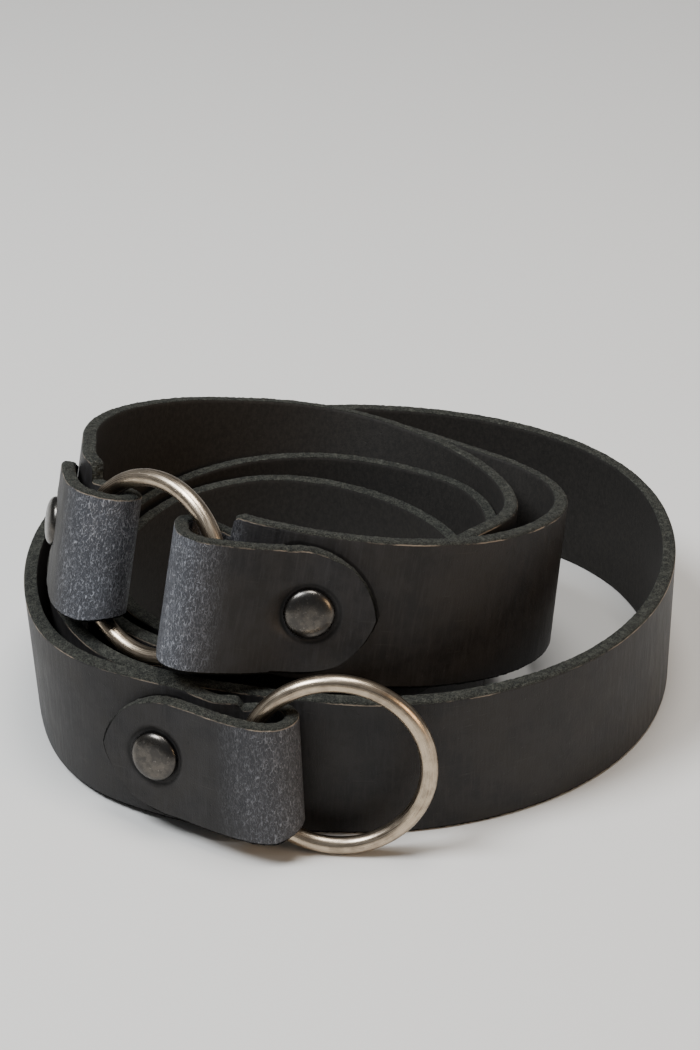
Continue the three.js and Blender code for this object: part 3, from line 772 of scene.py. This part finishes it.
def bed_caps(wound, flat, tabs, shift):
    """Presses the leather level under each cap, because a curved strap would rise into a flat one."""
    for tab in tabs:
        beside = wound - (tab["point"] + shift)
        height = beside @ tab["axis"]
        out = np.linalg.norm(beside - height[:, None] * tab["axis"], axis=1)
        outside = np.maximum(out - CAP_DIAMETER / 2 - CAP_MARGIN, 0)
        seat = cap_height(tab) - CAP_CLEAR + outside * CAP_SLOPE
        for leaf, way in (("rivet", 1), ("opposite", -1)):
            over = (np.abs(flat[:, 0] - tab[leaf]) < CAP_REACH) & (height * way > seat)
            wound[over] -= way * (height * way - seat)[over, None] * tab["axis"]


def wind(strap, line, tabs, shift):
    mesh = strap.data
    flat = points_of(mesh) / MM
    far = from_caps(flat, tabs)
    write_down(mesh, "flat", flat * MM)
    write_down(mesh, "crease", creasing(flat, tabs))
    write_down(mesh, "plain", rough_side(flat, tabs))
    write_down(mesh, "beside_cap", far)
    write_down(mesh, "from_flap", from_flap(flat, tabs))
    press(flat, far)
    sampled = {
        key: np.stack([np.interp(flat[:, 0], line["length"], line[key][:, k]) for k in range(3)], 1)
        for key in ("middle", "rising", "facing")
    }
    wound = (sampled["middle"] + unit(sampled["rising"]) * flat[:, 1:2]
             + unit(sampled["facing"]) * flat[:, 2:3] + shift)
    bed_caps(wound, flat, tabs, shift)
    wound[:, 2] = np.maximum(wound[:, 2], 0)
    move_points(mesh, wound * MM)
    bpy.ops.object.mode_set(mode="EDIT")
    bpy.ops.mesh.select_all(action="SELECT")
    bpy.ops.mesh.normals_make_consistent(inside=False)
    bpy.ops.object.mode_set(mode="OBJECT")
    bpy.ops.object.shade_smooth_by_angle(angle=math.radians(40))


# %% [markdown]
# The CAD part stands with its footprint centred, so the coil is moved by a fixed amount. The end
# ring shows how much: it is the same ring in both.

# %% Centre of the coil, and both straps
ring_height = RING_RADIUS * math.hypot(END_RING_FACES.x, END_RING_FACES.y) + WIRE / 2
end_ring_centre = np.array((*END_RING_SPOT, ring_height))
ring_box = np.array([list(corner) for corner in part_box("end_ring")])
coil_shift = ring_box.mean(axis=0) / MM - end_ring_centre
print("coil moved by", coil_shift.round(3), "mm")

front_strap = flat_strap("front_strap_leather", front_line, [end_tab, middle_tab_front], False)
wind(front_strap, front_line, [end_tab, middle_tab_front], coil_shift)
tail_strap = flat_strap("tail_strap_leather", tail_line, [middle_tab_side], True)
wind(tail_strap, tail_line, [middle_tab_side], coil_shift)
print("straps wound")

# %% [markdown]
# ## Helpers for the finishes
#
# A finish is a small network of nodes. These few helpers keep each one readable: one adds a node
# and plugs in its values, the others name the steps that come again and again.


# %% Node helpers
def node(tree, kind, inputs=(), **settings):
    made = tree.nodes.new(kind)
    for key, value in settings.items():
        setattr(made, key, value)
    for key, value in dict(inputs).items():
        if isinstance(value, bpy.types.NodeSocket):
            tree.links.new(value, made.inputs[key])
        else:
            made.inputs[key].default_value = value
    return made


def maths(tree, operation, first, second=0.0):
    return node(tree, "ShaderNodeMath", {0: first, 1: second}, operation=operation).outputs[0]


def times(tree, first, second):
    return maths(tree, "MULTIPLY", first, second)


def larger(tree, first, second):
    return maths(tree, "MAXIMUM", first, second)


def stretch(tree, vector, x, y, z):
    return node(tree, "ShaderNodeVectorMath", {0: vector, 1: (x, y, z)}, operation="MULTIPLY").outputs[0]


def between(tree, value, low, high, at_low=0.0, at_high=1.0):
    """Goes smoothly from at_low to at_high while the value goes from low to high."""
    inputs = {0: value, 1: low, 2: high, 3: at_low, 4: at_high}
    return node(tree, "ShaderNodeMapRange", inputs, interpolation_type="SMOOTHSTEP").outputs[0]


def blend(tree, share, first, second):
    return node(tree, "ShaderNodeMix", {0: share, 6: first, 7: second}, data_type="RGBA").outputs[2]


def noise(tree, vector, scale, detail=4.0, roughness=0.5, distortion=0.0):
    inputs = {"Vector": vector, "Scale": scale, "Detail": detail, "Roughness": roughness,
              "Distortion": distortion}
    return node(tree, "ShaderNodeTexNoise", inputs).outputs["Fac"]


def cracks(tree, vector):
    inputs = {"Vector": vector, "Scale": 1.0}
    return node(tree, "ShaderNodeTexVoronoi", inputs, feature="DISTANCE_TO_EDGE").outputs["Distance"]


def read(tree, name, kind="Fac"):
    """What every point of a piece has written down under a name."""
    return node(tree, "ShaderNodeAttribute", attribute_name=name).outputs[kind]


def finish(name, metallic=0.0):
    material = bpy.data.materials.new(name)
    material.use_nodes = True
    tree = material.node_tree
    surface = tree.nodes["Principled BSDF"]
    surface.inputs["Metallic"].default_value = metallic
    return material, tree, surface


def put_on(pieces, material, relief):
    """Gives a finish its relief, in metres, and puts it on its pieces."""
    tree = material.node_tree
    bump = node(tree, "ShaderNodeBump", {"Strength": 1.0, "Distance": 1.0, "Height": relief})
    tree.links.new(bump.outputs[0], tree.nodes["Principled BSDF"].inputs["Normal"])
    for piece in pieces:
        piece.data.materials.append(material)


# %% [markdown]
# ## Leather
#
# The belt is black leather, waxed and rubbed to a soft sheen. Four things make it more than a dark
# colour. Its face has fine streaks across the strap and a few pores and scratches. At the folds
# the finish has broken into pale wavy creases; their paleness is partly the cracked wax and partly
# a painted highlight. The cut edges are bare fibre, greyer than the face, with a worn line of
# undyed leather along the upper outer corner and painted shade along the lower one. The inner side
# is matt and a little browner. All of them are read from the flat strap: its length, its height,
# and the depth through its thickness, which tells the face, the edge and the inner side apart.
# Painted shade also darkens the strap close round the rivets and the flaps.

# %% Leather finish: where the surface is
leather, tree, surface = finish("waxed_black_leather")
flat = read(tree, "flat", "Vector")
crease = read(tree, "crease")
plain = read(tree, "plain")
beside_cap = read(tree, "beside_cap")
beside_flap = read(tree, "from_flap")
parts = node(tree, "ShaderNodeSeparateXYZ", {0: flat})
height, depth = parts.outputs["Y"], parts.outputs["Z"]

# On the cut side, on its outer corner, or on the inner side
deep = maths(tree, "ABSOLUTE", depth)
on_edge = between(tree, deep, 1.41 * MM, 1.46 * MM, 1.0, 0.0)
on_inside = times(tree, plain, between(tree, depth, -1.47 * MM, -1.43 * MM, 1.0, 0.0))
visible = node(tree, "ShaderNodeMix", {0: plain, 2: deep, 3: depth}, data_type="FLOAT").outputs[0]
corner = times(tree, between(tree, visible, 1.38 * MM, 1.43 * MM),
               between(tree, visible, 1.485 * MM, 1.498 * MM, 1.0, 0.0))
print("leather: face, edge and inner side told apart by", len(tree.nodes), "nodes")

# %% Leather finish: grain and creases
# Streaks across the strap, clouds in the dye, pores, scratches
streaks = noise(tree, stretch(tree, flat, 1700, 150, 400), 1.0, 6.0, 0.65)
clouds = noise(tree, flat, 60.0, 4.0, 0.6)
grain = cracks(tree, stretch(tree, flat, 2100, 1500, 1500))
pores = between(tree, noise(tree, flat, 1100.0, 2.0, 0.6), 0.68, 0.76)
scratches = noise(tree, stretch(tree, flat, 130, 2600, 300), 1.0, 2.0, 0.5, 0.4)
scratches = between(tree, scratches, 0.70, 0.75)


def wrinkles(along, across, slice_at, thin):
    """Thin wavy lines that run along the fold: where a stretched noise passes its middle. slice_at
    takes another slice of that noise for another layer."""
    wave = noise(tree, stretch(tree, flat, along, across, slice_at), 1.0, 1.3, 0.45, 0.12)
    beside = maths(tree, "ABSOLUTE", maths(tree, "SUBTRACT", wave, 0.5))
    return between(tree, beside, 0.0, thin, 1.0, 0.0)


coarse_lines = larger(tree, wrinkles(1800, 400, 300, 0.033), wrinkles(2000, 490, 2900, 0.033))
fine_lines = wrinkles(3300, 860, 5100, 0.05)
broken = between(tree, noise(tree, flat, 620.0, 2.0, 0.5), 0.36, 0.56, 0.35, 1.0)
patch = between(tree, noise(tree, flat, 90.0, 2.0, 0.5), 0.3, 0.6, 0.7, 1.0)
creased = times(tree, crease, patch)
ridges = larger(tree, times(tree, coarse_lines, broken), times(tree, fine_lines, 0.5))
ridges = times(tree, ridges, creased)
print("leather: grain and creases laid out,", len(tree.nodes), "nodes")

# %% Leather finish: colours
BLACK_DYE = (0.0085, 0.0082, 0.0088, 1)
BROWNISH_DYE = (0.0150, 0.0132, 0.0118, 1)
STREAK = (0.0295, 0.0275, 0.0282, 1)
SCRATCH = (0.060, 0.056, 0.052, 1)
MOTTLE = (0.0225, 0.0207, 0.0208, 1)
CRACKED_WAX_AND_SHEEN = (0.057, 0.060, 0.071, 1)
WARM_RIDGE_AND_GLINT = (0.31, 0.287, 0.272, 1)
COOL_RIDGE_AND_GLINT = (0.34, 0.365, 0.425, 1)
# Painted shade: the colour laid where shade would fall, low on the edges and round caps and flaps
PAINTED_SHADE_COLOUR = (0.003, 0.003, 0.003, 1)
SUEDE_DARK = (0.0120, 0.0108, 0.0096, 1)
SUEDE_LIGHT = (0.022, 0.0192, 0.0166, 1)
FIBRE_DARK = (0.010, 0.0105, 0.009, 1)
FIBRE_LIGHT = (0.072, 0.073, 0.060, 1)
UNDYED = (0.28, 0.225, 0.17, 1)

# The face: dye, streaks, scratches, mottle, creases, and painted shade in the groove round each cap and
# at the foot of its skirt
dye = blend(tree, between(tree, clouds, 0.35, 0.65), BLACK_DYE, BROWNISH_DYE)
dye = blend(tree, between(tree, streaks, 0.42, 0.70, 0.0, 0.55), dye, STREAK)
dye = blend(tree, times(tree, scratches, 0.22), dye, SCRATCH)
mottle = between(tree, noise(tree, flat, 260.0, 4.0, 0.6), 0.42, 0.62, 0.0, 0.4)
dye = blend(tree, mottle, dye, MOTTLE)
# The creases: the cracked wax is paler, and the bluish tint and bright ridges are also a painted
# highlight, whose cool and warm tints are painted reflections
dye = blend(tree, times(tree, creased, 0.85), dye, CRACKED_WAX_AND_SHEEN)
dye = blend(tree, ridges, dye, blend(tree, clouds, WARM_RIDGE_AND_GLINT, COOL_RIDGE_AND_GLINT))
# Painted shade in the groove of each cap's dent, and at the foot of the cap's skirt
groove_shade = times(tree, between(tree, beside_cap, 5.8, 6.15), between(tree, beside_cap, 6.3, 6.7, 1.0, 0.0))
under = between(tree, beside_cap, 5.3, 5.9, 1.0, 0.0)
dye = blend(tree, larger(tree, times(tree, groove_shade, 0.75), times(tree, under, 0.8)), dye, PAINTED_SHADE_COLOUR)

# The inner side and the bare cut edge, with its worn line high on the outer corner
suede = noise(tree, stretch(tree, flat, 1400, 900, 900), 1.0, 5.0, 0.7)
inner = blend(tree, between(tree, suede, 0.3, 0.7), SUEDE_DARK, SUEDE_LIGHT)
fibres = noise(tree, flat, 3600.0, 4.0, 0.75)
lumps = noise(tree, flat, 900.0, 3.0, 0.6)
fibre_mix = maths(tree, "ADD", times(tree, fibres, 0.7), times(tree, lumps, 0.3))
fibre_mix = between(tree, fibre_mix, 0.39, 0.63)
bare = blend(tree, fibre_mix, FIBRE_DARK, FIBRE_LIGHT)
worn = times(tree, between(tree, noise(tree, flat, 75.0, 5.0, 0.65), 0.44, 0.60),
             between(tree, height, 8 * MM, 12.5 * MM, 0.12, 1.0))
colour = blend(tree, on_inside, dye, inner)
colour = blend(tree, on_edge, colour, bare)
colour = blend(tree, times(tree, corner, worn), colour, UNDYED)

# Painted shade, low on the edges and round the flaps
painted_shade = times(tree, between(tree, height, 3 * MM, 11 * MM, 1.0, 0.0),
              between(tree, deep, 1.47 * MM, 1.495 * MM, 0.85, 0.0))
painted_shade = larger(tree, painted_shade, between(tree, beside_flap, 0.0, 0.5, 0.6, 0.0))
colour = blend(tree, painted_shade, colour, PAINTED_SHADE_COLOUR)
tree.links.new(colour, surface.inputs["Base Color"])
# Less sheen where shade is painted, so that it stays dark
tree.links.new(between(tree, painted_shade, 0.0, 1.0, 0.27, 0.04), surface.inputs["Specular IOR Level"])
print("leather: coloured,", len(tree.nodes), "nodes")

# %% Leather finish: sheen and relief
# Waxed on the face, dry on the edge and inside
waxed = between(tree, streaks, 0.3, 0.7, 0.46, 0.60)
dry = larger(tree, times(tree, on_inside, 0.72), times(tree, on_edge, 0.95))
tree.links.new(larger(tree, waxed, dry), surface.inputs["Roughness"])

face_relief = times(tree, maths(tree, "SUBTRACT", streaks, pores), 0.05 * MM)
grain_relief = times(tree, between(tree, grain, 0.0, 0.25), 0.016 * MM)
crease_relief = times(tree, ridges, 0.22 * MM)
edge_relief = times(tree, times(tree, fibre_mix, on_edge), 0.26 * MM)
relief = maths(tree, "ADD", face_relief, grain_relief)
relief = maths(tree, "ADD", maths(tree, "ADD", relief, crease_relief), edge_relief)
put_on((front_strap, tail_strap), leather, relief)
print("leather finish:", len(tree.nodes), "nodes")

# %% [markdown]
# ## Rings
#
# A ring starts as a length of round wire, bent and welded shut. The wire's section is a circle
# primitive, and Spin carries it round the ring. At the weld the wire is a little thicker, with a
# narrow groove where the two ends met.


# %% Rings
WIRE_SIDES = 32
RING_STEPS = 180
WELD_SWELL = (0.035, 0.9)  # share of the wire's thickness, and width in mm
WELD_GROOVE = (0.03, 0.25)
WELD_STAIN = 1.2  # width of the weld's pits in mm
BRUSHING = 0.001  # metres of brushing pattern from the weld to a quarter of the ring


def open_up(name):
    """Names the primitive just added and opens it for editing, with all its points chosen."""
    made = bpy.context.object
    made.name = name
    bpy.ops.object.mode_set(mode="EDIT")
    bpy.ops.mesh.select_mode(type="VERT")
    bpy.ops.mesh.select_all(action="SELECT")
    return made


def spin_round(steps, merge):
    """Carries the open outline once round +Z, joins its start to its end and closes the mesh."""
    bpy.ops.mesh.select_all(action="SELECT")
    bpy.ops.mesh.spin(steps=steps, angle=2 * math.pi, center=(0, 0, 0), axis=(0, 0, 1))
    bpy.ops.mesh.select_all(action="SELECT")
    bpy.ops.mesh.remove_doubles(threshold=merge)
    bpy.ops.mesh.normals_make_consistent(inside=False)
    bpy.ops.object.mode_set(mode="OBJECT")


def stand_up(piece, centre, faces):
    """Turns a piece made round +Z to look along faces, and sets it down with its place in its mesh."""
    turn = Vector((0, 0, 1)).rotation_difference(faces).to_matrix().to_4x4()
    piece.data.transform(Matrix.Translation(Vector(centre) * MM) @ turn)
    piece.data.update()


def ring(name, centre, faces, weld):
    bpy.ops.object.select_all(action="DESELECT")
    bpy.ops.mesh.primitive_circle_add(vertices=WIRE_SIDES, radius=WIRE / 2 * MM, location=(0, 0, 0))
    made = open_up(name)
    bpy.ops.transform.rotate(value=math.pi / 2, orient_axis="X", center_override=(0, 0, 0))
    bpy.ops.transform.translate(value=(RING_RADIUS * MM, 0, 0))
    spin_round(RING_STEPS, 1e-6)
    co = points_of(made.data)
    turn = np.arctan2(co[:, 1], co[:, 0])
    off = np.abs((turn - weld + math.pi) % (2 * math.pi) - math.pi) * RING_RADIUS
    swell = (1 + WELD_SWELL[0] * np.exp(-((off / WELD_SWELL[1]) ** 2))
             - WELD_GROOVE[0] * np.exp(-((off / WELD_GROOVE[1]) ** 2)))
    core = np.stack((np.cos(turn), np.sin(turn), np.zeros(len(co))), 1) * RING_RADIUS * MM
    move_points(made.data, core + (co - core) * swell[:, None])
    from_core = np.hypot(co[:, 0], co[:, 1]) - RING_RADIUS * MM
    write_down(made.data, "wire", np.stack((from_core, co[:, 2], np.sin(turn - weld) * BRUSHING), 1))
    write_down(made.data, "weld", np.exp(-((off / WELD_STAIN) ** 2)))
    stand_up(made, centre, faces)
    bpy.ops.object.shade_smooth()
    print(name, "of", len(made.data.polygons), "faces")
    return made


middle_knot = np.array([(*MIDDLE_RING_SPOT, 1, 0, 0, 0)])
middle_ring_centre = place(middle_knot, 0)[0]
end_ring = ring("end_ring_metal", end_ring_centre + coil_shift, END_RING_FACES, math.radians(-15))
middle_ring = ring("middle_ring_metal", middle_ring_centre + coil_shift, MIDDLE_RING_FACES,
                   math.radians(180))

# %% [markdown]
# ## Rivets
#
# A rivet is turned: half of its outline is drawn from point to point and spun round its axis. The
# cap is a shallow dome with a steep rounded skirt. The post goes through both leaves, and a flat
# cap closes it behind.


# %% Rivets
BACK_CAP = ((0.45, 1), (0.78, 0.9), (0.94, 0.6), (1, 0.2), (0.98, 0))  # shares of radius and height
RIVET_SIDES = 72
DOME_STEPS = 14
DOME_ROUND = (0.62, 0.92)  # powers that steepen the skirt and flatten the top of a plain dome


def turned(name, outline):
    """Draws an outline of (radius, height) pairs point by point and spins it round +Z."""
    bpy.ops.object.select_all(action="DESELECT")
    bpy.ops.mesh.primitive_plane_add(size=MM, location=(0, 0, 0))
    made = open_up(name)
    bpy.ops.mesh.merge(type="CENTER")
    bpy.ops.transform.translate(value=(outline[0][0] * MM, 0, outline[0][1] * MM))
    for (r0, h0), (r1, h1) in zip(outline, outline[1:]):
        step = ((r1 - r0) * MM, 0, (h1 - h0) * MM)
        bpy.ops.mesh.extrude_region_move(TRANSFORM_OT_translate={"value": step})
    spin_round(RIVET_SIDES, 2e-6)
    return made


def rivet(name, tab):
    front = cap_height(tab)
    cap, low, post = CAP_DIAMETER / 2, BACK_DIAMETER / 2, POST_DIAMETER / 2
    outline = [(0, -front - BACK_HEIGHT)]
    outline += [(low * out, -front - BACK_HEIGHT * down) for out, down in BACK_CAP]
    outline += [(post, -front), (post, front), (cap * CAP_UNDER, front), (cap, front + CAP_EDGE)]
    for i in range(1, DOME_STEPS):
        turn = i / DOME_STEPS * math.pi / 2
        rise = (CAP_HEIGHT - CAP_EDGE) * math.sin(turn) ** DOME_ROUND[1]
        outline.append((cap * math.cos(turn) ** DOME_ROUND[0], front + CAP_EDGE + rise))
    outline.append((0, front + CAP_HEIGHT))
    made = turned(name, outline)
    stand_up(made, tab["point"] + coil_shift, Vector(tab["axis"]))
    bpy.ops.object.shade_smooth_by_angle(angle=math.radians(45))
    print(name, "of", len(made.data.polygons), "faces")
    return made


end_rivet = rivet("end_rivet_metal", end_tab)
middle_rivet_front = rivet("middle_rivet_front_metal", middle_tab_front)
middle_rivet_side = rivet("middle_rivet_side_metal", middle_tab_side)

# %% [markdown]
# ## Metal
#
# The rings are plated steel with an aged nickel finish, brushed along the wire. Their golden tint is
# partly the aged nickel and partly a painted warm reflection. The brushing is a noise that is fine
# across the wire and long along it. Tarnish darkens it in clouds. The rivets have the same plating,
# darker, and handling has rubbed it bright in places.

# %% Metal finishes
# The warm tint of the nickel and of its brushing is partly a painted warm reflection
RING_NICKEL_AND_WARM_REFLECTION = (0.46, 0.37, 0.27, 1)
RING_TARNISH = (0.23, 0.18, 0.13, 1)
RING_BRUSHED_AND_WARM_REFLECTION = (0.66, 0.56, 0.44, 1)
RING_PIT = (0.10, 0.085, 0.07, 1)
RIVET_DARK = (0.066, 0.062, 0.058, 1)
RIVET_RUBBED = (0.110, 0.100, 0.088, 1)
RIVET_NICK = (0.26, 0.24, 0.215, 1)

ring_metal, tree, surface = finish("brushed_aged_nickel", metallic=1.0)
here = node(tree, "ShaderNodeTexCoord").outputs["Object"]
brushed = noise(tree, stretch(tree, read(tree, "wire", "Vector"), 5200, 5200, 4200), 1.0, 5.0, 0.7)
tarnish = noise(tree, here, 260.0, 5.0, 0.6)
pits = between(tree, noise(tree, here, 2100.0, 3.0, 0.6), 0.66, 0.76)
stained = times(tree, pits, maths(tree, "ADD", times(tree, read(tree, "weld"), 0.5), 0.5))
colour = blend(tree, between(tree, tarnish, 0.38, 0.66), RING_NICKEL_AND_WARM_REFLECTION, RING_TARNISH)
colour = blend(tree, between(tree, brushed, 0.35, 0.7, 0.0, 0.5), colour, RING_BRUSHED_AND_WARM_REFLECTION)
colour = blend(tree, stained, colour, RING_PIT)
tree.links.new(colour, surface.inputs["Base Color"])
rubbed = maths(tree, "ADD", between(tree, brushed, 0.3, 0.75, 0.18, 0.33), times(tree, tarnish, 0.10))
tree.links.new(rubbed, surface.inputs["Roughness"])
relief = maths(tree, "SUBTRACT", times(tree, brushed, 0.012 * MM), times(tree, pits, 0.02 * MM))
put_on((end_ring, middle_ring), ring_metal, relief)

rivet_metal, tree, surface = finish("dark_aged_nickel", metallic=1.0)
here = node(tree, "ShaderNodeTexCoord").outputs["Object"]
worn = noise(tree, here, 420.0, 5.0, 0.65)
nicks = between(tree, noise(tree, here, 1700.0, 4.0, 0.6), 0.60, 0.70)
colour = blend(tree, between(tree, worn, 0.40, 0.66), RIVET_DARK, RIVET_RUBBED)
colour = blend(tree, times(tree, nicks, 0.45), colour, RIVET_NICK)
tree.links.new(colour, surface.inputs["Base Color"])
tree.links.new(between(tree, worn, 0.3, 0.7, 0.34, 0.24), surface.inputs["Roughness"])
relief = times(tree, maths(tree, "ADD", nicks, times(tree, worn, 2.0)), 0.010 * MM)
put_on((end_rivet, middle_rivet_front, middle_rivet_side), rivet_metal, relief)
print("metal finishes ready")

# %% [markdown]
# ## Hand the pieces over to the frame
#
# Each piece stands for one solid of the CAD part, hides that solid, and rides on the only body.
# The straps are stiff leather that keeps its coil, not cloth, so none is declared as a sheet.

# %% Ride and replace
PIECES = [
    (front_strap, "front_strap", "leather"),
    (tail_strap, "tail_strap", "leather"),
    (end_ring, "end_ring", "ring_metal"),
    (middle_ring, "middle_ring", "ring_metal"),
    (end_rivet, "end_rivet", "rivet_metal"),
    (middle_rivet_front, "middle_rivet_front", "rivet_metal"),
    (middle_rivet_side, "middle_rivet_side", "rivet_metal"),
]
for piece, solid, slot in PIECES:
    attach(piece, "root")
    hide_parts(solid)
